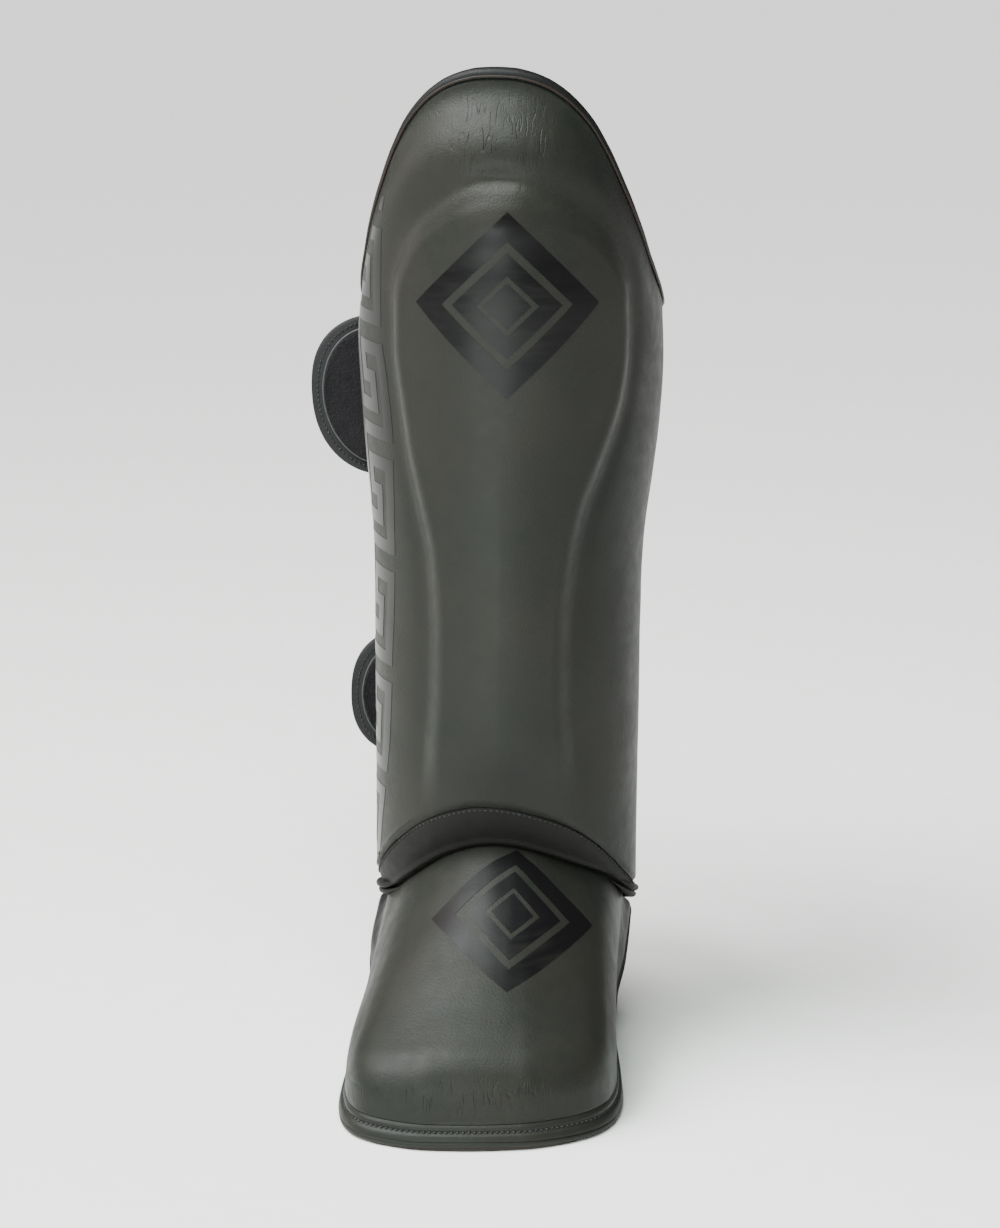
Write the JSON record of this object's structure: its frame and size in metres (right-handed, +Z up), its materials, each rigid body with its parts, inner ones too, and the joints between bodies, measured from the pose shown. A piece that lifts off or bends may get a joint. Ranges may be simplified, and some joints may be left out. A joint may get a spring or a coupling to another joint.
{
  "type": "shin and instep guard",
  "caption": "Padded leather guard for the shin and the top of the foot, open behind, with two calf straps, a raised shin panel and a flared toe rim.",
  "frame": {"origin": "on the floor at the middle of the flat underside of the sole strap", "axes": "+Z up along the shin, the front of the shin and the toe face -Y, +X to the right in the picture"},
  "size_m": [0.1739, 0.2838, 0.4623],
  "materials": {
    "leather": "smooth charcoal leather with a soft sheen",
    "binding": "rolled and stitched charcoal leather",
    "pile": "dark loop pile",
    "elastic": "woven black elastic"
  },
  "bodies": {
    "root": {"shin_pad": "leather", "shin_binding": "binding", "ankle_gusset": "leather", "instep_pad": "leather", "instep_binding": "binding", "upper_strap": "leather", "upper_strap_pile": "pile", "lower_strap": "leather", "lower_strap_pile": "pile", "sole_strap": "elastic"}
  },
  "joints": []
}
